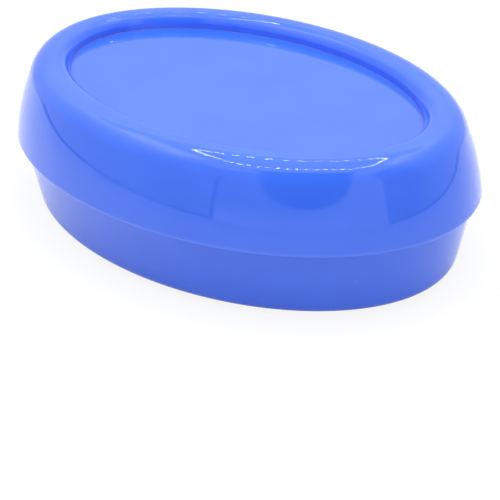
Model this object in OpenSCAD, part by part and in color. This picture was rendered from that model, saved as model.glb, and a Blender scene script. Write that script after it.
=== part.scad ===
/* [Overall] */
// Length along the long axis, at the skirt's lower edge
length = 110; // [100:1:125]
// Width across, at the skirt's lower edge
width = 79.2; // [72:0.2:90]
// Height of the closed bowl, from the table to the rim
height = 32.9; // [31:0.1:38]

/* [Cover] */
// Wall of the cover, the same all over
cover_wall = 1.8; // [1.4:0.1:2.2]
// Height of the skirt's lower edge above the table
skirt_z = 15.8; // [14:0.2:17]
// Radius of the skirt's gentle outward bow
skirt_r = 46; // [30:1:120]
// Distance of the rim's crest in from the skirt's lower edge
rim_inset = 9.3; // [8:0.1:12]
// Radius of the shoulder between the skirt and the rim
shoulder_r = 6.1; // [5:0.1:7.5]
// Rounding of the skirt's lower lip
lip_r = 0.7; // [0.3:0.1:0.9]
// Depth of the dish below the rim
dish_depth = 3.4; // [3:0.1:5]
// Radius of the rim's roll, from its crest down into the dish
roll_r = 3; // [2.4:0.1:3.4]
// Lean of the dish's wall below the roll, in degrees from upright
dish_lean = 8; // [5:1:20]
// Fillet between the dish's wall and its floor
dish_fillet_r = 0.4; // [0.2:0.1:0.8]

/* [Magnets and their keeper] */
// Diameter of one magnet disc
magnet_d = 20; // [16:1:22]
// Thickness of one magnet disc
magnet_t = 5; // [3:0.5:6]
// Wall of the round socket that each magnet sits in
socket_wall = 1.2; // [0.8:0.1:1.6]
// Width of the steel keeper strip
keeper_w = 16; // [12:1:18]
// Thickness of the steel keeper strip
keeper_t = 1.2; // [0.8:0.1:2]

/* [Retainer and its screws] */
// Thickness of the retainer plate
retainer_t = 2; // [1.6:0.1:2.5]
// Margin of the retainer plate around its screw bosses
retainer_margin = 1; // [0.5:0.1:2]
// Wall of the rim that holds the keeper in place
tray_wall = 1.2; // [0.8:0.1:1.6]
// Diameter of the screw bosses under the dish
boss_d = 6; // [5.4:0.2:7]
// Diameter of the screw shank
screw_d = 2.6; // [2:0.1:3]
// Depth that the screws reach into the bosses
screw_bite = 5; // [3.5:0.1:5.6]
// Diameter of the screw head
head_d = 5; // [4.4:0.1:5.6]
// Height of the screw head
head_h = 1.6; // [1.2:0.1:2]

/* [Tub] */
// Thickness of the tub's wall at its foot
tub_wall = 1.8; // [1.4:0.1:2.4]
// Thickness of the tub's floor
tub_floor = 1.8; // [1.5:0.1:2.4]
// Distance of the tub's foot in from the skirt's lower edge
foot_inset = 4.7; // [3.5:0.1:6]
// Distance of the ledge's edge in from the skirt's lower edge
ledge_inset = 1.5; // [1:0.1:2]
// Rounding of the tub's outer bottom edge
foot_r = 1.5; // [0.8:0.1:2.5]
// Fillet inside the tub, between its wall and floor
tub_fillet_r = 3; // [1.5:0.5:5]
// Height of the collar above the ledge
collar_h = 6.7; // [5:0.1:8]
// Wall of the collar
collar_wall = 1.4; // [1:0.1:1.8]
// Height by which the bead stands out of the collar
bead_h = 0.2; // [0.1:0.05:0.25]
// Thickness of the stop ribs under the rim
rib_t = 1.6; // [1.2:0.1:2.4]

/* [Feet] */
// Diameter of an anti-slip pad
pad_d = 10; // [8:1:12]
// Thickness of an anti-slip pad
pad_t = 1.6; // [1.4:0.1:2]
// Depth of the recess that a pad is glued into
pad_recess = 0.8; // [0.5:0.1:0.9]
// Distance of the pads from the middle, along the bowl
pad_x = 29; // [22:1:34]
// Distance of the pads from the middle, across the bowl
pad_y = 14; // [10:1:17]

/* [Fits] */
// Gap between the collar and the skirt where they are closest
lid_gap = 0.35; // [0.3:0.05:0.6]
// Gap between the skirt's lip and the ledge
ledge_gap = 0.3; // [0.2:0.05:0.6]
// Gap around a magnet in its socket
magnet_fit = 0.15; // [0.1:0.05:0.3]
// Gap around the keeper in its tray
keeper_fit = 0.2; // [0.1:0.05:0.4]
// Gap around a screw's shank in the retainer
screw_fit = 0.2; // [0.1:0.05:0.4]
// Gap around a screw's shank in its boss
thread_fit = 0.05; // [0.03:0.01:0.1]
// Gap around a pad in its recess
pad_fit = 0.15; // [0.1:0.05:0.3]

/* [Hidden] */
$fn = 48;

// A section is a list of points [d, z]. d is the distance outward from the
// skirt's lower edge, square to it and negative inside, and z is the height.

// Steps around the oval
segments = 72;
// Steps of a small arc and of a large one
few = 4;
many = 7;
// Depth by which fused features reach into each other
weld = 0.4;
// Extra length of a cut past the face that it opens
past = 1;

half_l = length/2;
half_w = width/2;

// Cover, from the shoulder down to the lip
shoulder_c = [-rim_inset, height - shoulder_r];
to_lip = [0, skirt_z] - shoulder_c;
arm = skirt_r - shoulder_r;
lip_turn = acos((to_lip*to_lip + arm*arm - skirt_r*skirt_r)/(2*norm(to_lip)*arm));
skirt_lean = atan2(to_lip[1], to_lip[0]) + 180 - lip_turn;
skirt_c = shoulder_c - arm*dir(skirt_lean);
// Largest share of the wall that one rounding of the lip takes
lip_share = 0.4;
lip_round = min(lip_r, lip_share*cover_wall);
skirt_step = (skirt_lean - skirt_turn(skirt_z + lip_round, cover_wall - lip_round))/few;

// Cover, from the rim down into the dish
floor_z = height - dish_depth;
under_z = floor_z - cover_wall;
// Least length of straight wall between the roll and the fillet
least_wall = 0.1;
roll_most = (dish_depth - least_wall)/(1 - sin(dish_lean)) - dish_fillet_r;
roll = min(roll_r, roll_most);
roll_c = [-rim_inset, height - roll];
bends = roll + dish_fillet_r;
dish_run = (dish_depth - bends*(1 - sin(dish_lean)))/cos(dish_lean);
fillet_c = [roll_c[0] - bends*cos(dish_lean) - dish_run*sin(dish_lean), floor_z + dish_fillet_r];

// Tub
pad_proud = pad_t - pad_recess;
tub_z = pad_proud;
tub_floor_z = tub_z + tub_floor;
ledge_z = skirt_z - ledge_gap;
collar_z = ledge_z + collar_h;
collar_d = skirt_at(collar_z, cover_wall) - lid_gap;
mouth_d = collar_d - collar_wall;
tub_lean = atan2(foot_inset - ledge_inset, ledge_z - tub_z);
inner_foot = [-foot_inset - tub_wall, tub_floor_z];
inner_lean = atan2(mouth_d - inner_foot[0], collar_z - tub_floor_z);
// Roundings of the ledge's edge and of the collar's top
ledge_r = 0.4;
collar_r = 0.3;
// Height of the bead's flat and of each slope beside it
bead_step = 0.4;

// Magnets, keeper and retainer
// Thickness that two sockets share, as a multiple of one socket's wall
shared_walls = 1.5;
// Length of an outer magnet that the keeper leaves uncovered
magnet_bare = 2;
// Gap between a screw boss and the rim that holds the keeper
boss_gap = 0.6;
// Length of the retainer past the rim that holds the keeper
retainer_reach = 3;
// Height of that rim, and its least distance below the sockets
tray_rise = 1;
tray_clear = 0.2;
// Depth of a screw's hole past the tip of the screw
hole_past = 0.4;
magnet_pitch = magnet_d + 2*magnet_fit + shared_walls*socket_wall;
magnet_low = under_z - magnet_t;
keeper_low = magnet_low - keeper_t;
keeper_half = magnet_pitch + magnet_d/2 - magnet_bare;
boss_x = magnet_pitch/2;
boss_y = keeper_w/2 + keeper_fit + tray_wall + boss_gap + boss_d/2;
retainer_low = keeper_low - retainer_t;
retainer_half_w = boss_y + boss_d/2 + retainer_margin;
retainer_half_l = keeper_half + keeper_fit + tray_wall + retainer_reach;
tray_h = min(tray_rise, keeper_t - tray_clear);
// The cross recess in a screw's head
cross_w = 0.7;
cross_l = 2.6;
cross_depth = 0.9;

// Stop ribs: their number, their places around the oval, their reach past
// the collar's inner edge, and their own inner edge
ribs = 8;
rib_turns = [for (i = [0:ribs - 1]) 360*(i + 0.5)/ribs];
rib_reach = 0.6;
rib_d = mouth_d - rib_reach;

blue = [0.29, 0.44, 0.95];
ferrite = [0.20, 0.20, 0.21];
steel = [0.72, 0.73, 0.75];
grey = [0.86, 0.88, 0.90];

// Unit vector at an angle
function dir(turn) = [cos(turn), sin(turn)];

// Points of an arc about c, from one angle to another
function arc(c, r, from, to, steps) =
  [for (i = [0:steps]) c + r*dir(from + (to - from)*i/steps)];

// The skirt's distance d at a height, at a depth into its wall
function skirt_at(z, depth) =
  skirt_c[0] + sqrt(pow(skirt_r - depth, 2) - pow(z - skirt_c[1], 2));

// The skirt's angle about its centre at a height, at a depth into its wall
function skirt_turn(z, depth) = asin((z - skirt_c[1])/(skirt_r - depth));

// Outward normal of the oval
function oval_normal(t) =
  let (v = [half_w*cos(t), half_l*sin(t)]) v/norm(v);

// A point of the oval, moved outward by d
function oval(t, d) = [half_l*cos(t), half_w*sin(t)] + d*oval_normal(t);

// A closed solid: one ring of points for each point of the section, and a
// flat cap over the first and the last ring
module oval_loft(section) {
  rings = len(section);
  points = [for (s = section) for (i = [0:segments - 1])
    let (p = oval(360*i/segments, s[0])) [p[0], p[1], s[1]]];
  sides = [for (r = [0:rings - 2]) for (i = [0:segments - 1])
    let (a = r*segments + i, b = r*segments + (i + 1)%segments)
    each [[a, b, b + segments], [a, b + segments, a + segments]]];
  first = [for (i = [segments - 1:-1:0]) i];
  last = [for (i = [0:segments - 1]) (rings - 1)*segments + i];
  polyhedron(points, concat(sides, [first, last]));
}

// Section of the cover, from the dish's floor over the rim, down the skirt,
// round the lip and back along the inside
function cover_outside() = concat(
  arc(fillet_c, dish_fillet_r, -90, -dish_lean, few - 2),
  arc(roll_c, roll, 180 - dish_lean, 90, many),
  arc(shoulder_c, shoulder_r, 90 - (90 - skirt_lean)/many, skirt_lean, many - 1),
  arc(skirt_c, skirt_r, skirt_lean - skirt_step, skirt_turn(skirt_z + lip_round, lip_round), few - 1));

function cover_lip() =
  let (out = skirt_turn(skirt_z + lip_round, lip_round),
       back = skirt_turn(skirt_z + lip_round, cover_wall - lip_round))
  concat(
    arc(skirt_c + (skirt_r - lip_round)*dir(out), lip_round, (out - 90)/2, -90, 1),
    arc(skirt_c + (skirt_r - cover_wall + lip_round)*dir(back), lip_round, -90, back - 180, 2));

function cover_inside() = concat(
  arc(skirt_c, skirt_r - cover_wall, skirt_lean - skirt_step*(few - 1), skirt_lean, few - 1),
  arc(shoulder_c, shoulder_r - cover_wall, skirt_lean + (90 - skirt_lean)/few, 90, few - 1),
  arc(roll_c, roll - cover_wall, 90 + (90 - dish_lean)/few, 180 - dish_lean, few - 1),
  arc(fillet_c, dish_fillet_r + cover_wall, -dish_lean, -90, few));

// A flat rib across the oval at one place, from the stop face up into the shell
module stop_rib(turn) {
  depth = cover_wall/2;
  shell_r = shoulder_r - depth;
  top_turn = acos((rib_d - shoulder_c[0])/shell_r);
  base = oval(turn, 0);
  out = oval_normal(turn);
  section = concat(
    [[rib_d, collar_z]],
    arc(shoulder_c, shell_r, top_turn, skirt_lean, few),
    arc(skirt_c, skirt_r - depth, skirt_lean - skirt_step, skirt_turn(collar_z, depth), few - 1));
  translate([base[0], base[1], 0])
    rotate([0, 0, atan2(out[1], out[0])])
      rotate([90, 0, 0])
        linear_extrude(rib_t, center = true) polygon(section);
}

module at_magnets() {
  for (i = [-1:1]) translate([i*magnet_pitch, 0, 0]) children();
}

module at_bosses() {
  for (x = [-boss_x, boss_x], y = [-boss_y, boss_y]) translate([x, y, 0]) children();
}

module cover() {
  color(blue) difference() {
    union() {
      oval_loft(concat(cover_outside(), cover_lip(), cover_inside()));
      for (turn = rib_turns) stop_rib(turn);
      at_magnets() magnet_socket();
      at_bosses() translate([0, 0, keeper_low])
        cylinder(d = boss_d, h = under_z - keeper_low + weld);
    }
    at_bosses() translate([0, 0, keeper_low - past])
      cylinder(r = screw_d/2 + thread_fit, h = screw_bite + hole_past + past);
  }
}

module magnet_socket() {
  bore_r = magnet_d/2 + magnet_fit;
  translate([0, 0, magnet_low]) difference() {
    cylinder(r = bore_r + socket_wall, h = magnet_t + weld);
    translate([0, 0, -past]) cylinder(r = bore_r, h = magnet_t + past);
    translate([0, 0, -past]) cylinder(r = bore_r, h = magnet_t + weld + 2*past);
  }
}

module magnet(place) {
  edge = 0.4;
  r = magnet_d/2;
  color(ferrite) translate([place*magnet_pitch, 0, magnet_low])
    rotate_extrude()
      polygon([[0, 0], [r - edge, 0], [r, edge], [r, magnet_t - edge],
               [r - edge, magnet_t], [0, magnet_t]]);
}

// A flat strip with round ends
module strip(half_length, half_width, thickness) {
  straight = half_length - half_width;
  linear_extrude(thickness) union() {
    square([2*straight, 2*half_width], center = true);
    for (x = [-straight, straight]) translate([x, 0]) circle(half_width);
  }
}

module keeper_plate() {
  color(steel) translate([0, 0, keeper_low])
    strip(keeper_half, keeper_w/2, keeper_t);
}

module magnet_retainer() {
  tray_l = keeper_half + keeper_fit;
  tray_w = keeper_w/2 + keeper_fit;
  color(blue) translate([0, 0, retainer_low]) difference() {
    union() {
      strip(retainer_half_l, retainer_half_w, retainer_t);
      strip(tray_l + tray_wall, tray_w + tray_wall, retainer_t + tray_h);
    }
    translate([0, 0, retainer_t]) strip(tray_l, tray_w, tray_h + past);
    at_bosses() translate([0, 0, -past])
      cylinder(r = screw_d/2 + screw_fit, h = retainer_t + 2*past);
  }
}

module retainer_screws() {
  r = screw_d/2;
  shank = retainer_t + screw_bite;
  dome = 0.4;
  color(steel) at_bosses() translate([0, 0, retainer_low]) difference() {
    rotate_extrude() polygon([[0, -head_h], [head_d/2 - dome*2, -head_h],
      [head_d/2, -head_h + dome], [head_d/2, 0], [r, 0], [r, shank - 2*r], [0, shank]]);
    for (turn = [0, 90]) rotate([0, 0, turn])
      translate([-cross_l/2, -cross_w/2, -head_h - past])
        cube([cross_l, cross_w, cross_depth + past]);
  }
}

// Section of the tub, from its underside up the wall, over the ledge and the
// collar, and down inside to its floor
function tub_outside() =
  let (foot_c = [-foot_inset - foot_r*(1 - sin(tub_lean))/cos(tub_lean), tub_z + foot_r],
       ledge_c = [-ledge_inset - ledge_r*(1 + sin(tub_lean))/cos(tub_lean), ledge_z - ledge_r])
  concat(
    arc(foot_c, foot_r, -90, -tub_lean, many - 1),
    arc(ledge_c, ledge_r, -tub_lean, 90, few));

function tub_collar() = concat(
  [[collar_d, ledge_z],
   [collar_d, collar_z - 4*bead_step],
   [collar_d + bead_h, collar_z - 3*bead_step],
   [collar_d + bead_h, collar_z - 2*bead_step]],
  [[collar_d - collar_r, collar_z], [mouth_d + collar_r, collar_z]]);

function tub_inside() =
  let (c = inner_foot + tub_fillet_r*[-(1 - sin(inner_lean))/cos(inner_lean), 1])
  concat([[mouth_d, collar_z - collar_r]], arc(c, tub_fillet_r, -inner_lean, -90, many - 1));

module tub() {
  color(blue) difference() {
    oval_loft(concat(tub_outside(), tub_collar(), tub_inside()));
    for (x = [-pad_x, pad_x], y = [-pad_y, pad_y])
      translate([x, y, tub_z - past])
        cylinder(r = pad_d/2 + pad_fit, h = pad_recess + past);
  }
}

module foot_pad(side_x, side_y) {
  edge = 0.3;
  r = pad_d/2;
  color(grey) translate([side_x*pad_x, side_y*pad_y, 0])
    rotate_extrude()
      polygon([[0, 0], [r - edge, 0], [r, edge], [r, pad_t], [0, pad_t]]);
}

cover();
magnet(-1);  // magnet_left
magnet(0);  // magnet_middle
magnet(1);  // magnet_right
keeper_plate();
magnet_retainer();
retainer_screws();
tub();
foot_pad(-1, -1);  // foot_pad_front_left
foot_pad(1, -1);  // foot_pad_front_right
foot_pad(-1, 1);  // foot_pad_back_left
foot_pad(1, 1);  // foot_pad_back_right
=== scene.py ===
"""The oval magnetic bowl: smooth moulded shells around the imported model, glossy
blue plastic, and the light tent that its gloss shows."""

import math

import bmesh
import bpy
from mathutils import Matrix, Vector


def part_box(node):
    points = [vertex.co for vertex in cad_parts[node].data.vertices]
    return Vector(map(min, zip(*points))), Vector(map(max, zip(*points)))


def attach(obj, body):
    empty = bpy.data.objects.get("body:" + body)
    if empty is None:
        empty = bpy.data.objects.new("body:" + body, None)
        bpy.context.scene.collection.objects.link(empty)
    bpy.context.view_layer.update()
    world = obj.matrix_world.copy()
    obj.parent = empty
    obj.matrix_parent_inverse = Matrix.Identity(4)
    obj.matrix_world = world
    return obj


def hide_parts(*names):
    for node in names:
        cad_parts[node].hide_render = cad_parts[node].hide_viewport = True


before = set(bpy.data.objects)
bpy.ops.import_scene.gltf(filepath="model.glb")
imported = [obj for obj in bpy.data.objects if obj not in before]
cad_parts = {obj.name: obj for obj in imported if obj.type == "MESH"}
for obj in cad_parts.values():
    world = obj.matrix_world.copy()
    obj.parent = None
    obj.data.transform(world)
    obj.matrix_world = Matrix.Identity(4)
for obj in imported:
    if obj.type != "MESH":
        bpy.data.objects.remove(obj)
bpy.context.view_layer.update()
MM = 0.001
SQUARE = ((-1, -1), (1, -1), (1, 1), (-1, 1))

# Section of the two shells, in millimetres and degrees. Apart from the foot's
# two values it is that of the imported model. A section point is (d, z): d
# outward from the skirt's lower edge, z above the table.
LENGTH = 110.0
WIDTH = 79.2
HEIGHT = 32.9
COVER_WALL = 1.8
SKIRT_Z = 15.8
SKIRT_R = 46.0
RIM_INSET = 9.3
SHOULDER_R = 6.1
LIP_R = 0.7
DISH_DEPTH = 3.4
ROLL_R = 3.0
DISH_LEAN = 8.0
DISH_FILLET_R = 0.4
TUB_Z = 0.8
TUB_WALL = 1.8
TUB_FLOOR = 1.8
FOOT_INSET = 4.65
FOOT_R = 2.4
LEDGE_INSET = 1.5
LEDGE_GAP = 0.3
LEDGE_R = 0.4
TUB_FILLET_R = 3.0
COLLAR_H = 6.7
COLLAR_WALL = 1.4
COLLAR_R = 0.3
BEAD_H = 0.2
BEAD_STEP = 0.4
LID_GAP = 0.35
STOP_RIB_T = 1.6
STOP_RIBS = 8
STOP_RIB_TURNS = [(i + 0.5)*360/STOP_RIBS for i in range(STOP_RIBS)]

# The dish's side as its reflections show it: from the rim's crest it turns by
# the first angle at ROLL_R, goes on flatter to the second, bends down into the
# leaning wall and meets the floor in a fine crease.
CROWN_TURN = 45.0
FLANK_R = 4.5
FLANK_TURN = 62.0
BEND_R = 0.8
CREASE_R = 0.12

# Sockets and bosses under the dish, and recesses for the pads
SOCKET_WALL = 1.2
MAGNET_FIT = 0.15
BOSS_R = 3.0
PILOT_R = 1.35
PILOT_DEPTH = 5.4
PAD_RECESS = 0.8
PAD_FIT = 0.15

# How far a rib reaches in past the collar, a screw's head, and how far an
# added solid sinks into its shell and a cutting one stands out of it
RIB_PAST_COLLAR = 0.6
SCREW_HEAD_R = 2.5
WELD = 0.4
CUT_PAST = 1.0

MAGNETS = ["magnet_left", "magnet_middle", "magnet_right"]
PADS = [f"foot_pad_{row}_{side}" for row in ("front", "back") for side in ("left", "right")]

# Fineness of the shells: points round the oval, degrees to an arc step and to
# one on the rim, sides of a rod, how close to a flat or straight stretch's end
# its last ring lies, and the angle from which an edge is sharp
ROUND = 288
ARC_STEP = 4.0
RIM_STEP = 2.0
ROD_SIDES = 96
EDGE_RING = 0.3
SHARP_ANGLE = 30.0

# Colours, linear: the plastic's two shades, its dust, the painted highlight on the
# cover's lip and the dirt in the dish, and how much of the plastic's colour the
# tub keeps, which darkens it as painted shade under the skirt
BLUE_DEEP = (0.036, 0.140, 0.84, 1)
BLUE_LIGHT = (0.041, 0.151, 0.87, 1)
DUST = (0.5, 0.6, 0.9, 1)
BLUE_LIP_HIGHLIGHT = (0.09, 0.215, 0.95, 1)
GRIME = (0.09, 0.05, 0.16, 1)
TUB_SHADE_TINT = 0.96

# Finish of the plastic: its noise scales, the band of noise that counts as
# low to high, its roughness, and the depth of its wave and its skin in metres
CLOUD_SCALE = 60
SMEAR_SCALE = 320
SKIN_SCALE = 1400
CLOUD_BAND = (0.35, 0.65)
NOISE_BAND = (0.3, 0.7)
GLOSS_ROUGHNESS = (0.02, 0.05)
PLASTIC_IOR = 1.49
WAVE_DEPTH = 0.000005
SKIN_DEPTH = 0.0000008

# Marks on it: the band above the skirt's edge, in millimetres, where the lip is
# painted paler as a painted highlight, then for dust and for specks the cells' scale,
# a mark's edge as a share of its cell, the noise that picks the cells, its band, and
# the strongest mark
LIP_HIGHLIGHT_BAND = (1.1, 0.1)
DUST_MARKS = (260.0, (0.035, 0.02), 170, (0.62, 0.66), 0.55)
SPECK_MARKS = (420.0, (0.16, 0.1), 210, (0.6, 0.64), 0.9)

# The dirt: how high up the dish's side it reaches in millimetres, the half
# width of its line as a share of the oval's, its strength, where along the
# bowl it grows in metres, and the band inside the corner where specks lie
GRIME_HEIGHT = 1.0
GRIME_WIDTH = 0.022
GRIME_STRENGTH = 0.55
GRIME_ALONG = (0.018, 0.042)
GRIME_ALONG_LEVELS = (0.35, 1.0)
GRIME_PATCHES = 500
GRIME_PATCH_LEVELS = (0.3, 1.0)
SPECK_INSIDE = (0.90, 0.96)
SPECK_OUTSIDE = (1.0, 1.01)

# The camera: a place on a line from the bowl's middle, then moved across the
# line of sight, in metres and degrees; its lens and sensor in millimetres
CAM_DISTANCE = 0.364132
CAM_ELEVATION = 29.412
CAM_AZIMUTH = 41.161
CAM_ROLL = -0.385
CAM_ASIDE = 0.001727
CAM_RISE = -0.008088
CAM_LENS = 121.55
CAM_SENSOR = 36.0
CAM_CLIP = (0.01, 20.0)

# Plain light: the world's level, the panel overhead, and the floor: half its
# side, its colour as it lights the bowl, then its colour and own glow as the
# camera sees it, and as gloss shows it
WORLD_FILL = 0.70
TOP_POWER = 2.05
TOP_SIZE = 0.5
TOP_HEIGHT = 0.45
FLOOR_HALF = 3.0
FLOOR_WHITE = 0.75
FLOOR_SEEN = (0.12, 0.88)
FLOOR_IN_GLOSS = (0.85, 0.3)

# The light tent, which only gloss shows. Its walls stand square to the
# camera; places are in metres from the bowl's middle: across the line of
# sight, along it towards the camera, and up. Its front corners are cut, a low
# kerb runs along the left wall, and dim seams follow the lower edges.
TENT_LEFT = -0.45
TENT_RIGHT = 0.37
TENT_FRONT = 0.41
TENT_BACK = -0.44
TENT_TOP = 0.60
CORNER_LEFT = -0.37
CORNER_RIGHT = 0.341
CORNER_CUT = 0.06
KERB = [(-0.45, 0.0), (-0.385, -0.13), (-0.30, -0.20), (-0.42, -0.44)]
KERB_TOP = 0.05
SEAM = 0.007
SEAM_WIDE = 0.022
SEAM_LEVEL = 0.3

# Brightness: of the left and the right wall at the back and the front end of
# SIDE_TURN, and what the lights above add to them; of the front wall at its
# left and right end and at its foot; of the back wall low and high; and of the
# ceiling. HEIGHTS, ALONG and TURN are the places where a level changes.
LEFT_LEVELS = (1.0, 0.85)
RIGHT_LEVELS = (1.0, 0.6)
SIDE_TURN = (0.0, 0.2)
SIDE_GLOW = 1.7
SIDE_GLOW_HEIGHTS = (0.15, 0.60)
SIDE_GLOW_ALONG = (0.05, 0.30)
FRONT_LEVELS = (0.85, 1.25)
FRONT_TURN = (-0.15, 0.15)
FRONT_FOOT = 1.4
FRONT_HEIGHTS = (0.03, 0.09)
BACK_LEVELS = (0.85, 1.1)
BACK_HEIGHTS = (0.18, 0.24)
BACK_GLOW = 1.1
CEILING_LEVEL = 1.65

# Two soft strip lights along the ceiling: side, inner edge, length, level
STRIPS = [(-1, 0.31, (-0.30, 0.10), 1.5), (1, 0.28, (-0.22, 0.08), 1.6)]
STRIP_BLUR = 0.03

# The dim opening that the camera looks through, in the front wall and the
# front of the ceiling: its middle and half size, across and up
HATCH_LEVEL = 0.2
HATCH_MIDDLE = (-0.02, 0.185)
HATCH_SIZE = (0.158, 0.10)
HATCH_BLUR = 0.08
HATCH_END = 0.26

# A ring of small bright lights on the ceiling, round a rounded rectangle: its
# middle and half size, and each light's size along the ring and across it
RING_MIDDLE = (-0.0025, -0.06)
RING_HALF = (0.2225, 0.19)
RING_CORNER = 0.11
RING_LIGHTS = 50
RING_LIGHT_SIZE = (0.014, 0.012)
RING_LEVEL = 42.0


def direction(turn):
    """The direction at an angle in degrees."""
    return Vector((math.cos(math.radians(turn)), math.sin(math.radians(turn))))


def arc(centre, radius, start, end, step=ARC_STEP):
    """Points of an arc in the section, both ends included."""
    steps = max(2, round(abs(end - start)/step))
    return [centre + radius*direction(start + (end - start)*i/steps) for i in range(steps + 1)]


def line(start, end):
    """Two points just inside the ends of a straight stretch."""
    inset = EDGE_RING*(end - start).normalized()
    return [start + inset, end - inset]


class CoverShape:
    """Centres and angles of the cover's section."""

    def __init__(self):
        self.shoulder = Vector((-RIM_INSET, HEIGHT - SHOULDER_R))
        to_lip = Vector((0, SKIRT_Z)) - self.shoulder
        arm = SKIRT_R - SHOULDER_R
        cosine = (to_lip.length_squared + arm**2 - SKIRT_R**2)/(2*to_lip.length*arm)
        bearing = math.degrees(math.atan2(to_lip.y, to_lip.x))
        self.lean = bearing + 180 - math.degrees(math.acos(cosine))
        self.skirt = self.shoulder - arm*direction(self.lean)
        self.floor_z = HEIGHT - DISH_DEPTH
        self.under_z = self.floor_z - COVER_WALL
        self.roll = Vector((-RIM_INSET, HEIGHT - ROLL_R))
        lean = math.radians(DISH_LEAN)
        bends = ROLL_R + DISH_FILLET_R
        run = (DISH_DEPTH - bends*(1 - math.sin(lean)))/math.cos(lean)
        inward = bends*math.cos(lean) + run*math.sin(lean)
        self.fillet = Vector((self.roll.x - inward, self.floor_z + DISH_FILLET_R))
        self.flank = self.roll + (ROLL_R - FLANK_R)*direction(90 + CROWN_TURN)
        self.bend = self.flank + (FLANK_R - BEND_R)*direction(90 + FLANK_TURN)
        foot = self.bend + BEND_R*direction(180 - DISH_LEAN)
        touch = CREASE_R*direction(-DISH_LEAN)
        drop = foot.y - touch.y - self.floor_z - CREASE_R
        self.crease = Vector((foot.x - drop*math.tan(lean) - touch.x, self.floor_z + CREASE_R))

    def skirt_turn(self, z, depth):
        """The angle on the skirt's arc, at a depth under its face, that has this height."""
        return math.degrees(math.asin((z - self.skirt.y)/(SKIRT_R - depth)))

    def skirt_at(self, z, depth):
        """How far out that point of the skirt lies."""
        return self.skirt.x + math.sqrt((SKIRT_R - depth)**2 - (z - self.skirt.y)**2)

    def section(self):
        """From the dish's floor over the rim, down the skirt and back inside."""
        out = self.skirt_turn(SKIRT_Z + LIP_R, LIP_R)
        back = self.skirt_turn(SKIRT_Z + LIP_R, COVER_WALL - LIP_R)
        outer_lip = self.skirt + (SKIRT_R - LIP_R)*direction(out)
        inner_lip = self.skirt + (SKIRT_R - COVER_WALL + LIP_R)*direction(back)
        floor_bend = arc(self.crease, CREASE_R, -90, -DISH_LEAN)
        return (
            [floor_bend[0] - Vector((EDGE_RING, 0))]
            + floor_bend
            + line(floor_bend[-1], self.bend + BEND_R*direction(180 - DISH_LEAN))
            + arc(self.bend, BEND_R, 180 - DISH_LEAN, 90 + FLANK_TURN)
            + arc(self.flank, FLANK_R, 90 + FLANK_TURN, 90 + CROWN_TURN, RIM_STEP)[1:]
            + arc(self.roll, ROLL_R, 90 + CROWN_TURN, 90, RIM_STEP)[1:]
            + arc(self.shoulder, SHOULDER_R, 90, self.lean, RIM_STEP)[1:]
            + arc(self.skirt, SKIRT_R, self.lean, out)[1:]
            + arc(outer_lip, LIP_R, out, -90)[1:]
            + arc(inner_lip, LIP_R, -90, back - 180)
            + arc(self.skirt, SKIRT_R - COVER_WALL, back, self.lean)[1:]
            + arc(self.shoulder, SHOULDER_R - COVER_WALL, self.lean, 90)[1:]
            + arc(self.roll, ROLL_R - COVER_WALL, 90, 180 - DISH_LEAN)[1:]
            + arc(self.fillet, DISH_FILLET_R + COVER_WALL, -DISH_LEAN, -90)
            + [Vector((self.fillet.x - EDGE_RING, self.under_z))]
        )


def tub_section(cover):
    """From the underside up the wall, over the ledge and collar, down inside."""
    ledge_z = SKIRT_Z - LEDGE_GAP
    collar_z = ledge_z + COLLAR_H
    collar = cover.skirt_at(collar_z, COVER_WALL) - LID_GAP
    mouth = collar - COLLAR_WALL
    floor_z = TUB_Z + TUB_FLOOR
    lean = math.atan2(FOOT_INSET - LEDGE_INSET, ledge_z - TUB_Z)
    inner = Vector((-FOOT_INSET - TUB_WALL, floor_z))
    inner_lean = math.atan2(mouth - inner.x, collar_z - floor_z)
    foot_in = FOOT_R*(1 - math.sin(lean))/math.cos(lean)
    ledge_in = LEDGE_R*(1 + math.sin(lean))/math.cos(lean)
    foot = Vector((-FOOT_INSET - foot_in, TUB_Z + FOOT_R))
    ledge = Vector((-LEDGE_INSET - ledge_in, ledge_z - LEDGE_R))
    fillet_in = TUB_FILLET_R*(1 - math.sin(inner_lean))/math.cos(inner_lean)
    fillet = inner + Vector((-fillet_in, TUB_FILLET_R))
    lean, inner_lean = math.degrees(lean), math.degrees(inner_lean)
    foot_bend = arc(foot, FOOT_R, -90, -lean)
    ledge_bend = arc(ledge, LEDGE_R, -lean, 90)
    mouth_bend = arc(Vector((mouth + COLLAR_R, collar_z - COLLAR_R)), COLLAR_R, 90, 180)
    floor_bend = arc(fillet, TUB_FILLET_R, -inner_lean, -90)
    return (
        [foot_bend[0] - Vector((EDGE_RING, 0))]
        + foot_bend
        + line(foot_bend[-1], ledge_bend[0])
        + ledge_bend
        + [Vector((collar, ledge_z)),
           Vector((collar, collar_z - 4*BEAD_STEP)),
           Vector((collar + BEAD_H, collar_z - 3*BEAD_STEP)),
           Vector((collar + BEAD_H, collar_z - 2*BEAD_STEP))]
        + arc(Vector((collar - COLLAR_R, collar_z - COLLAR_R)), COLLAR_R, 0, 90)
        + mouth_bend
        + line(mouth_bend[-1], floor_bend[0])
        + floor_bend
        + [floor_bend[-1] - Vector((EDGE_RING, 0))]
    )


def oval_normal(t):
    """The outward direction of the oval at parameter t."""
    return Vector((WIDTH*math.cos(t), LENGTH*math.sin(t))).normalized()


def oval(t, d):
    """A point of the oval at parameter t, moved outward by d, in millimetres."""
    return Vector((LENGTH/2*math.cos(t), WIDTH/2*math.sin(t))) + d*oval_normal(t)


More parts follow.
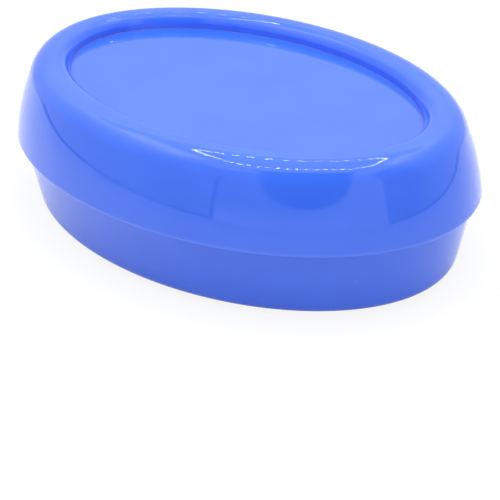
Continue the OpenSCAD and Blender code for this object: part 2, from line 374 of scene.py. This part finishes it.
def oval_loft(name, section):
    """A closed mesh: a ring of points for each section point, capped at both ends."""
    points = []
    for d, z in section:
        for i in range(ROUND):
            p = oval(math.tau*i/ROUND, d)
            points.append((p.x*MM, p.y*MM, z*MM))
    faces = []
    for ring in range(len(section) - 1):
        for i in range(ROUND):
            a, b = ring*ROUND + i, ring*ROUND + (i + 1) % ROUND
            faces.append((a, b, b + ROUND, a + ROUND))
    faces.append(tuple(range(ROUND - 1, -1, -1)))
    faces.append(tuple((len(section) - 1)*ROUND + i for i in range(ROUND)))
    return new_object(name, points, faces)


def new_object(name, points, faces):
    """A mesh object whose faces all look outward."""
    mesh = bpy.data.meshes.new(name)
    mesh.from_pydata(points, [], faces)
    shape = bmesh.new()
    shape.from_mesh(mesh)
    bmesh.ops.recalc_face_normals(shape, faces=shape.faces)
    shape.to_mesh(mesh)
    shape.free()
    piece = bpy.data.objects.new(name, mesh)
    bpy.context.scene.collection.objects.link(piece)
    return piece


def soften(piece):
    """Smooth shading, apart from sharp edges."""
    shape = bmesh.new()
    shape.from_mesh(piece.data)
    for face in shape.faces:
        face.smooth = True
    for edge in shape.edges:
        edge.smooth = edge.calc_face_angle(0) < math.radians(SHARP_ANGLE)
    shape.to_mesh(piece.data)
    shape.free()


def rod(name, radius, low, high, place):
    """A closed cylinder standing at a place, in millimetres."""
    points = []
    for z in (low, high):
        for i in range(ROD_SIDES):
            p = place + radius*direction(360*i/ROD_SIDES)
            points.append((p.x*MM, p.y*MM, z*MM))
    faces = [tuple(range(ROD_SIDES)), tuple(range(ROD_SIDES, 2*ROD_SIDES))]
    for i in range(ROD_SIDES):
        j = (i + 1) % ROD_SIDES
        faces.append((i, j, j + ROD_SIDES, i + ROD_SIDES))
    return new_object(name, points, faces)


def stop_rib(cover, turn, collar_z):
    """A flat rib across the oval, from the stop face up into the shell."""
    depth = COVER_WALL/2
    radius = SHOULDER_R - depth
    inner = cover.skirt_at(collar_z, COVER_WALL) - LID_GAP - COLLAR_WALL - RIB_PAST_COLLAR
    top = math.degrees(math.acos((inner - cover.shoulder.x)/radius))
    outline = (
        [Vector((inner, collar_z))]
        + arc(cover.shoulder, radius, top, cover.lean)
        + arc(cover.skirt, SKIRT_R - depth, cover.lean, cover.skirt_turn(collar_z, depth))[1:]
    )
    t = math.radians(turn)
    out = oval_normal(t)
    along = Vector((-out.y, out.x))
    points = []
    for side in (-STOP_RIB_T/2, STOP_RIB_T/2):
        for d, z in outline:
            p = oval(t, d) + side*along
            points.append((p.x*MM, p.y*MM, z*MM))
    n = len(outline)
    faces = [tuple(range(n)), tuple(range(n, 2*n))]
    faces += [(i, (i + 1) % n, (i + 1) % n + n, i + n) for i in range(n)]
    return new_object("stop_rib", points, faces)


def combine(base, others, operation):
    """Adds the other solids to the base, or cuts them from it."""
    for other in others:
        step = base.modifiers.new("combine", "BOOLEAN")
        step.operation = operation
        step.solver = "EXACT"
        step.object = other
    graph = bpy.context.evaluated_depsgraph_get()
    mesh = bpy.data.meshes.new_from_object(base.evaluated_get(graph))
    base.modifiers.clear()
    base.data = mesh
    for other in others:
        bpy.data.objects.remove(other)


def box_mm(node):
    """A node's lowest and highest corners, in millimetres."""
    low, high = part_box(node)
    return Vector(low)/MM, Vector(high)/MM


def boss_places():
    """Where the screws under the dish stand."""
    low, high = box_mm("retainer_screws")
    x, y = high.x - SCREW_HEAD_R, high.y - SCREW_HEAD_R
    return [Vector((sx*x, sy*y)) for sx in (-1, 1) for sy in (-1, 1)]


def make_cover(cover):
    """The cover's shell, with its stop ribs, magnet sockets and screw bosses."""
    shell = oval_loft("cover_shell", cover.section())
    collar_z = SKIRT_Z - LEDGE_GAP + COLLAR_H
    added = [stop_rib(cover, turn, collar_z) for turn in STOP_RIB_TURNS]
    cut = []
    for node in MAGNETS:
        low, high = box_mm(node)
        place = Vector(((low.x + high.x)/2, 0))
        bore = (high.x - low.x)/2 + MAGNET_FIT
        added.append(rod("socket", bore + SOCKET_WALL, low.z, cover.under_z + WELD, place))
        cut.append(rod("socket_bore", bore, low.z - CUT_PAST, cover.under_z, place))
    boss_low = box_mm("keeper_plate")[0].z
    for place in boss_places():
        added.append(rod("boss", BOSS_R, boss_low, cover.under_z + WELD, place))
        cut.append(rod("pilot", PILOT_R, boss_low - CUT_PAST, boss_low + PILOT_DEPTH, place))
    combine(shell, added, "UNION")
    combine(shell, cut, "DIFFERENCE")
    soften(shell)
    return shell


def make_tub(cover):
    """The tub's shell, with a recess for each pad."""
    shell = oval_loft("tub_shell", tub_section(cover))
    cut = []
    for node in PADS:
        low, high = box_mm(node)
        middle = (low + high)/2
        radius = (high.x - low.x)/2 + PAD_FIT
        cut.append(rod("recess", radius, TUB_Z - CUT_PAST, TUB_Z + PAD_RECESS, middle.to_2d()))
    combine(shell, cut, "DIFFERENCE")
    soften(shell)
    return shell


class Nodes:
    """A short way to write a material's nodes."""

    def __init__(self, name):
        self.material = bpy.data.materials.new(name)
        self.material.use_nodes = True
        self.tree = self.material.node_tree
        self.shader = self.tree.nodes["Principled BSDF"]
        self.place = self.add("ShaderNodeTexCoord").outputs["Object"]

    def feed(self, socket, value):
        """Links a socket to the value, or sets it where the value is plain."""
        if isinstance(value, bpy.types.NodeSocket):
            self.tree.links.new(value, socket)
        else:
            socket.default_value = value

    def add(self, kind, inputs=None, **settings):
        node = self.tree.nodes.new(kind)
        for key, value in settings.items():
            setattr(node, key, value)
        for key, value in (inputs or {}).items():
            self.feed(node.inputs[key], value)
        return node

    def math(self, operation, first, second=0.0):
        return self.add("ShaderNodeMath", {0: first, 1: second}, operation=operation).outputs[0]

    def product(self, first, *others):
        for other in others:
            first = self.math("MULTIPLY", first, other)
        return first

    def length(self, x, y):
        """The length of a flat vector."""
        flat = self.add("ShaderNodeCombineXYZ", {0: x, 1: y}).outputs[0]
        return self.add("ShaderNodeVectorMath", {0: flat}, operation="LENGTH").outputs["Value"]

    def split(self):
        """The X, Y and Z of the place."""
        place = self.add("ShaderNodeSeparateXYZ", {0: self.place}).outputs
        return place["X"], place["Y"], place["Z"]

    def noise(self, scale, detail=3.0, roughness=0.5):
        return self.add("ShaderNodeTexNoise", {
            "Vector": self.place, "Scale": scale, "Detail": detail, "Roughness": roughness,
        }).outputs["Fac"]

    def spread(self, value, low, high, to_low, to_high):
        """Maps low to high onto to_low to to_high, and stops at both ends."""
        return self.add("ShaderNodeMapRange", {
            "Value": value, "From Min": low, "From Max": high, "To Min": to_low, "To Max": to_high,
        }).outputs["Result"]

    def mix(self, factor, first, second):
        """Mixes two colours; the sockets 0, 6, 7 and 2 are those of the colour mode."""
        node = self.add("ShaderNodeMix", data_type="RGBA")
        for index, value in ((0, factor), (6, first), (7, second)):
            self.feed(node.inputs[index], value)
        return node.outputs[2]

    def marks(self, scale, edge, picker, band, strongest):
        """Small round marks in some cells of a pattern."""
        cell = self.add("ShaderNodeTexVoronoi", {
            "Vector": self.place, "Scale": scale, "Randomness": 1.0,
        })
        near = self.spread(cell.outputs["Distance"], *edge, 0.0, 1.0)
        return self.product(near, self.spread(self.noise(picker, 1), *band, 0.0, strongest))

    def bump(self, height, distance, strength=1.0, normal=None):
        inputs = {"Height": height, "Distance": distance, "Strength": strength}
        if normal:
            inputs["Normal"] = normal
        return self.add("ShaderNodeBump", inputs).outputs["Normal"]

    def set(self, **inputs):
        for key, value in inputs.items():
            self.feed(self.shader.inputs[key.replace("_", " ")], value)
        return self.material


def blue_plastic(name, shade_tint=1.0, lip_highlight_and_grime=False):
    """Glossy moulded plastic: faint clouding, a slightly wavy skin and tiny dust specks,
    darkened as painted shade by a tint below 1. Where asked, it has a painted highlight
    along the cover's lip and the dirt in the dish's corner."""
    n = Nodes(name)
    # A tint below 1 darkens both shades as painted shade
    deep, light = ((*(shade_tint*c for c in colour[:3]), 1) for colour in (BLUE_DEEP, BLUE_LIGHT))
    cloud = n.spread(n.noise(CLOUD_SCALE, 4), *CLOUD_BAND, 0.0, 1.0)
    body = n.mix(cloud, deep, light)
    x, y, z = n.split()
    if lip_highlight_and_grime:
        # Painted highlight: the colour grows paler towards the lip's lower edge
        top, bottom = ((SKIRT_Z + height)*MM for height in LIP_HIGHLIGHT_BAND)
        body = n.mix(n.spread(z, top, bottom, 0.0, 1.0), body, BLUE_LIP_HIGHLIGHT)
    colour = n.mix(n.marks(*DUST_MARKS), body, DUST)
    if lip_highlight_and_grime:
        colour = n.mix(dish_grime(n, x, y, z), colour, GRIME)
    rough = n.spread(n.noise(SMEAR_SCALE, 3), *NOISE_BAND, *GLOSS_ROUGHNESS)
    wave = n.bump(n.noise(CLOUD_SCALE, 1), WAVE_DEPTH)
    skin = n.bump(n.noise(SKIN_SCALE, 2), SKIN_DEPTH, 1.0, wave)
    return n.set(Base_Color=colour, Roughness=rough, IOR=PLASTIC_IOR, Normal=skin)


def dish_grime(n, x, y, z):
    """How much handling dirt lies in the dish's corner: most at the oval's ends."""
    reach = n.length(n.math("DIVIDE", x, (LENGTH/2 + COVER.crease.x)*MM),
                     n.math("DIVIDE", y, (WIDTH/2 + COVER.crease.x)*MM))
    from_corner = n.math("ABSOLUTE", n.math("SUBTRACT", reach, 1.0))
    line = n.spread(from_corner, GRIME_WIDTH, 0.0, 0.0, GRIME_STRENGTH)
    low = n.spread(z, (COVER.floor_z + GRIME_HEIGHT)*MM, COVER.floor_z*MM, 0.0, 1.0)
    above = n.math("GREATER_THAN", z, (COVER.floor_z - COVER_WALL/2)*MM)
    low = n.product(low, above)
    at_end = n.spread(n.math("ABSOLUTE", x), *GRIME_ALONG, *GRIME_ALONG_LEVELS)
    patchy = n.spread(n.noise(GRIME_PATCHES, 3, 0.6), *CLOUD_BAND, *GRIME_PATCH_LEVELS)
    specks = n.product(
        n.marks(*SPECK_MARKS),
        n.spread(reach, *SPECK_INSIDE, 0.0, 1.0),
        n.spread(reach, *SPECK_OUTSIDE, 1.0, 0.0),
        low,
    )
    return n.math("MAXIMUM", n.product(line, low, at_end, patchy), specks)


def ferrite():
    """Sintered ferrite: dark, fine-grained, dull."""
    n = Nodes("ferrite")
    grain = n.noise(2200, 4, 0.6)
    colour = n.mix(grain, (0.02, 0.02, 0.022, 1), (0.06, 0.06, 0.065, 1))
    rough = n.spread(grain, *NOISE_BAND, 0.45, 0.65)
    skin = n.bump(grain, 0.00001)
    return n.set(Base_Color=colour, Metallic=0.2, Roughness=rough, Normal=skin)


def zinc_steel():
    """Zinc-plated strip with a faint rolled grain along it."""
    n = Nodes("zinc_steel")
    stretched = n.add("ShaderNodeMapping", {"Vector": n.place, "Scale": (40.0, 1600.0, 1600.0)})
    inputs = {"Vector": stretched.outputs[0], "Scale": 1.0, "Detail": 3.0}
    grain = n.add("ShaderNodeTexNoise", inputs).outputs["Fac"]
    colour = n.mix(grain, (0.42, 0.43, 0.46, 1), (0.62, 0.63, 0.66, 1))
    rough = n.spread(grain, *NOISE_BAND, 0.25, 0.42)
    skin = n.bump(grain, 0.000004)
    return n.set(Base_Color=colour, Metallic=1.0, Roughness=rough, Normal=skin)


def screw_steel():
    """Bright plated screws, a little mottled."""
    n = Nodes("screw_steel")
    mottle = n.noise(900, 3)
    colour = n.mix(mottle, (0.5, 0.5, 0.52, 1), (0.75, 0.74, 0.72, 1))
    rough = n.spread(mottle, *NOISE_BAND, 0.18, 0.34)
    skin = n.bump(mottle, 0.000004)
    return n.set(Base_Color=colour, Metallic=1.0, Roughness=rough, Normal=skin)


def pad_rubber():
    """Pale, slightly cloudy elastomer with a matt skin."""
    n = Nodes("pad_rubber")
    cloud = n.noise(400, 4)
    colour = n.mix(cloud, (0.55, 0.58, 0.62, 1), (0.78, 0.8, 0.82, 1))
    rough = n.spread(cloud, *NOISE_BAND, 0.4, 0.6)
    skin = n.bump(n.noise(2500, 2), 0.00001)
    return n.set(Base_Color=colour, Roughness=rough, Normal=skin)


def paint_node(node, material):
    """Gives a CAD node its material."""
    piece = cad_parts[node]
    if not piece.material_slots:
        piece.data.materials.append(material)
    for slot in piece.material_slots:
        slot.material = material


def camera_axes():
    """The camera's own right, up and backward directions."""
    right, toward = view_frame()
    elevation = math.radians(CAM_ELEVATION)
    back = toward*math.cos(elevation) + Vector((0, 0, math.sin(elevation)))
    up = back.cross(right)
    roll = math.radians(CAM_ROLL)
    rolled_right = math.cos(roll)*right + math.sin(roll)*up
    rolled_up = math.cos(roll)*up - math.sin(roll)*right
    return rolled_right, rolled_up, back


def make_camera():
    """The camera of the photograph's large view."""
    right, up, back = camera_axes()
    data = bpy.data.cameras.new("camera")
    data.lens = CAM_LENS
    data.sensor_width = CAM_SENSOR
    data.clip_start, data.clip_end = CAM_CLIP
    camera = bpy.data.objects.new("camera", data)
    place = CAM_DISTANCE*back + CAM_ASIDE*right + CAM_RISE*up + Vector((0, 0, TUB_Z*MM))
    turn = Matrix((right, up, back)).transposed().to_4x4()
    camera.matrix_world = Matrix.Translation(place) @ turn
    bpy.context.scene.collection.objects.link(camera)
    bpy.context.scene.camera = camera


def view_frame():
    """Directions on the floor: to the right of the camera's view, and towards it."""
    azimuth = math.radians(CAM_AZIMUTH)
    across = Vector((math.cos(azimuth), math.sin(azimuth), 0))
    toward = Vector((math.sin(azimuth), -math.cos(azimuth), 0))
    return across, toward


def make_floor():
    """A white floor: it lights the bowl from below, and keeps a soft shadow."""
    corners = [(u*FLOOR_HALF, v*FLOOR_HALF, 0) for u, v in SQUARE]
    piece = new_object("floor", corners, [(0, 1, 2, 3)])
    n = Nodes("floor")
    path = n.add("ShaderNodeLightPath").outputs
    seen = n.math("MAXIMUM", path["Is Camera Ray"], path["Is Transmission Ray"])
    gloss = path["Is Glossy Ray"]
    level = n.spread(seen, 0.0, 1.0, FLOOR_WHITE, FLOOR_SEEN[0])
    level = n.spread(gloss, 0.0, 1.0, level, FLOOR_IN_GLOSS[0])
    colour = n.add("ShaderNodeCombineXYZ", {0: level, 1: level, 2: level}).outputs[0]
    glow = n.math("ADD", n.product(seen, FLOOR_SEEN[1]), n.product(gloss, FLOOR_IN_GLOSS[1]))
    n.set(Base_Color=colour, Roughness=1.0, Specular_IOR_Level=0.0,
          Emission_Color=(1, 1, 1, 1), Emission_Strength=glow)
    piece.data.materials.append(n.material)


def make_world():
    """A plain fill light, and a white background to the camera."""
    world = bpy.data.worlds.new("fill")
    bpy.context.scene.world = world
    world.use_nodes = True
    tree = world.node_tree
    path = tree.nodes.new("ShaderNodeLightPath")
    level = tree.nodes.new("ShaderNodeMapRange")
    level.inputs["To Min"].default_value = WORLD_FILL
    level.inputs["To Max"].default_value = 1.0
    tree.links.new(path.outputs["Is Camera Ray"], level.inputs["Value"])
    background = tree.nodes["Background"]
    background.inputs["Color"].default_value = (1, 1, 1, 1)
    tree.links.new(level.outputs["Result"], background.inputs["Strength"])


def glowing(name):
    """Nodes of a material that only glows, and the socket for its strength."""
    n = Nodes(name)
    n.tree.nodes.remove(n.shader)
    light = n.add("ShaderNodeEmission")
    n.tree.links.new(light.outputs[0], n.tree.nodes["Material Output"].inputs["Surface"])
    return n, light.inputs["Strength"]


def plain_glow(name, level):
    """A material with one brightness all over."""
    n, strength = glowing(name)
    strength.default_value = level
    return n.material


def side_glow(name, levels):
    """A side wall: darker towards its front end, brighter under the strip light."""
    n, strength = glowing(name)
    _, y, z = n.split()
    level = n.spread(y, *SIDE_TURN, *levels)
    rise = n.spread(z, *SIDE_GLOW_HEIGHTS, 0.0, 1.0)
    glow = n.product(rise, rise, n.spread(y, *SIDE_GLOW_ALONG, SIDE_GLOW, 0.0))
    n.tree.links.new(n.math("ADD", level, glow), strength)
    return n.material


def back_glow():
    """The back wall, which is brighter towards the lights in the ceiling."""
    n, strength = glowing("tent_back")
    _, _, z = n.split()
    level = n.spread(z, *BACK_HEIGHTS, *BACK_LEVELS)
    rise = n.spread(z, BACK_HEIGHTS[1], TENT_TOP, 0.0, BACK_GLOW)
    n.tree.links.new(n.math("ADD", level, rise), strength)
    return n.material


def front_glow():
    """The front wall, with the dim opening that the camera looks through: round
    at the bottom, and with nearly upright sides above its middle."""
    n, strength = glowing("tent_front")
    x, _, z = n.split()
    across = n.math("DIVIDE", n.math("SUBTRACT", x, HATCH_MIDDLE[0]), HATCH_SIZE[0])
    above = n.math("SUBTRACT", z, HATCH_MIDDLE[1])
    wider = n.math("ADD", 1.0, n.math("MAXIMUM", above, 0.0))
    below = n.math("DIVIDE", n.math("MINIMUM", above, 0.0), HATCH_SIZE[1])
    reach = n.length(n.math("DIVIDE", across, wider), below)
    wall = n.spread(x, *FRONT_TURN, *FRONT_LEVELS)
    wall = n.spread(z, *FRONT_HEIGHTS, FRONT_FOOT, wall)
    level = n.spread(reach, 1 - HATCH_BLUR, 1 + HATCH_BLUR, HATCH_LEVEL, wall)
    n.tree.links.new(level, strength)
    return n.material


def ceiling_glow():
    """The ceiling: two soft strip lights, and the far end of the dim opening."""
    n, strength = glowing("tent_ceiling")
    x, y, _ = n.split()
    level = CEILING_LEVEL
    for side, inner, (back, front), extra in STRIPS:
        out = n.product(x, side)
        strip = n.product(
            n.spread(out, inner - STRIP_BLUR, inner + STRIP_BLUR, 0.0, extra),
            n.spread(y, back - STRIP_BLUR, back + STRIP_BLUR, 0.0, 1.0),
            n.spread(y, front - STRIP_BLUR, front + STRIP_BLUR, 1.0, 0.0),
        )
        level = n.math("ADD", level, strip)
    width = HATCH_SIZE[0]*(1 + TENT_TOP - HATCH_MIDDLE[1])
    beside = n.math("ABSOLUTE", n.math("SUBTRACT", x, HATCH_MIDDLE[0]))
    dark = n.product(
        n.spread(beside, width - STRIP_BLUR, width, 1.0, 0.0),
        n.spread(y, HATCH_END, HATCH_END + STRIP_BLUR, 0.0, 1.0),
    )
    n.tree.links.new(n.spread(dark, 0.0, 1.0, level, HATCH_LEVEL), strength)
    return n.material


def tent_piece(name, points, faces, material):
    """A part of the tent, from points (across, toward, up). Only gloss shows it."""
    across, toward = view_frame()
    piece = new_object(name, points, faces)
    piece.matrix_world = Matrix((across, toward, Vector((0, 0, 1)))).transposed().to_4x4()
    piece.data.materials.append(material)
    piece.visible_camera = False
    piece.visible_diffuse = False
    piece.visible_transmission = False
    piece.visible_shadow = False


def upright_card(name, a, b, low, high, material):
    """A card of the tent that stands on the line from a to b."""
    points = [(*a, low), (*b, low), (*b, high), (*a, high)]
    tent_piece(name, points, [(0, 1, 2, 3)], material)


def ring_places():
    """Evenly spaced places round a rounded rectangle, each with its outward direction."""
    span = [RING_HALF[1] - RING_CORNER, RING_HALF[0] - RING_CORNER]
    bend = math.pi/2*RING_CORNER
    loop = 4*(sum(span) + bend)
    places = []
    for i in range(RING_LIGHTS):
        way = loop*(i + 0.5)/RING_LIGHTS
        side = 0
        while way > 2*span[side % 2] + bend:
            way -= 2*span[side % 2] + bend
            side += 1
        half = span[side % 2]
        out = direction(90*side + 90*max(0, way - 2*half)/bend)
        from_centre = span[1 - side % 2]*direction(90*side)
        along = (min(way, 2*half) - half)*direction(90*side + 90)
        places.append((Vector(RING_MIDDLE) + from_centre + along + RING_CORNER*out, out))
    return places


def make_ring():
    """The ring of small lights, just under the ceiling."""
    points, faces = [], []
    for i, (middle, out) in enumerate(ring_places()):
        along = Vector((-out.y, out.x))
        for u, v in SQUARE:
            p = middle + u*RING_LIGHT_SIZE[0]/2*along + v*RING_LIGHT_SIZE[1]/2*out
            points.append((p.x, p.y, TENT_TOP - SEAM))
        faces.append(tuple(range(4*i, 4*i + 4)))
    tent_piece("tent_ring", points, faces, plain_glow("tent_ring", RING_LEVEL))


def make_tent():
    """Walls, ceiling, seams and the ring of small lights that the gloss shows."""
    left, right, front, back, top = TENT_LEFT, TENT_RIGHT, TENT_FRONT, TENT_BACK, TENT_TOP
    left_wall = side_glow("tent_left", LEFT_LEVELS)
    right_wall = side_glow("tent_right", RIGHT_LEVELS)
    seam = plain_glow("tent_seam", SEAM_LEVEL)
    for name, x, corner_x, wall in (
        ("left", left, CORNER_LEFT, left_wall),
        ("right", right, CORNER_RIGHT, right_wall),
    ):
        turn, corner = (x, front - CORNER_CUT), (corner_x, front)
        beside = (corner_x + math.copysign(SEAM_WIDE, -x), front)
        upright_card(f"tent_{name}", turn, (x, back), 0, top, wall)
        upright_card(f"tent_{name}_cut", corner, turn, 0, top, wall)
        upright_card(f"seam_{name}_cut", corner, turn, 0, SEAM, seam)
        upright_card(f"seam_{name}_front", beside, corner, 0, top, seam)
    upright_card("tent_front", (CORNER_LEFT, front), (CORNER_RIGHT, front), 0, top, front_glow())
    upright_card("tent_back", (left, back), (right, back), 0, top, back_glow())
    upright_card("seam_right", (right, front - CORNER_CUT), (right, back), 0, SEAM, seam)
    upright_card("seam_left", (left, front - CORNER_CUT), KERB[0], 0, SEAM, seam)
    for i, (a, b) in enumerate(zip(KERB, KERB[1:])):
        upright_card(f"kerb_{i}", a, b, SEAM, KERB_TOP, left_wall)
        upright_card(f"seam_kerb_{i}", a, b, 0, SEAM, seam)
    corners = [(left, front, top), (right, front, top), (right, back, top), (left, back, top)]
    tent_piece("tent_ceiling", corners, [(0, 1, 2, 3)], ceiling_glow())
    make_ring()


def top_panel():
    """The one lamp: a soft panel overhead, which gloss doesn't show."""
    data = bpy.data.lights.new("top_panel", "AREA")
    data.shape = "SQUARE"
    data.size = TOP_SIZE
    data.energy = TOP_POWER
    lamp = bpy.data.objects.new("top_panel", data)
    lamp.location = (0, 0, TOP_HEIGHT)
    lamp.visible_glossy = False
    bpy.context.scene.collection.objects.link(lamp)


COVER = CoverShape()
cover_shell = make_cover(COVER)
tub_shell = make_tub(COVER)
# The cover's plastic has the painted highlight along its lip and the dirt in the dish
cover_shell.data.materials.append(blue_plastic("blue_plastic_cover", lip_highlight_and_grime=True))
# The tub's plastic is darkened as painted shade, for the shade under the skirt's overhang
tub_shell.data.materials.append(blue_plastic("blue_plastic_tub", TUB_SHADE_TINT))
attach(cover_shell, "cover")
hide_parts("cover")
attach(tub_shell, "tub")
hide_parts("tub")

paint_node("magnet_retainer", blue_plastic("blue_plastic"))
magnet_finish = ferrite()
for node in MAGNETS:
    paint_node(node, magnet_finish)
paint_node("keeper_plate", zinc_steel())
paint_node("retainer_screws", screw_steel())
pad_finish = pad_rubber()
for node in PADS:
    paint_node(node, pad_finish)

bpy.context.scene.view_settings.view_transform = "Standard"
make_camera()
make_floor()
make_world()
make_tent()
top_panel()
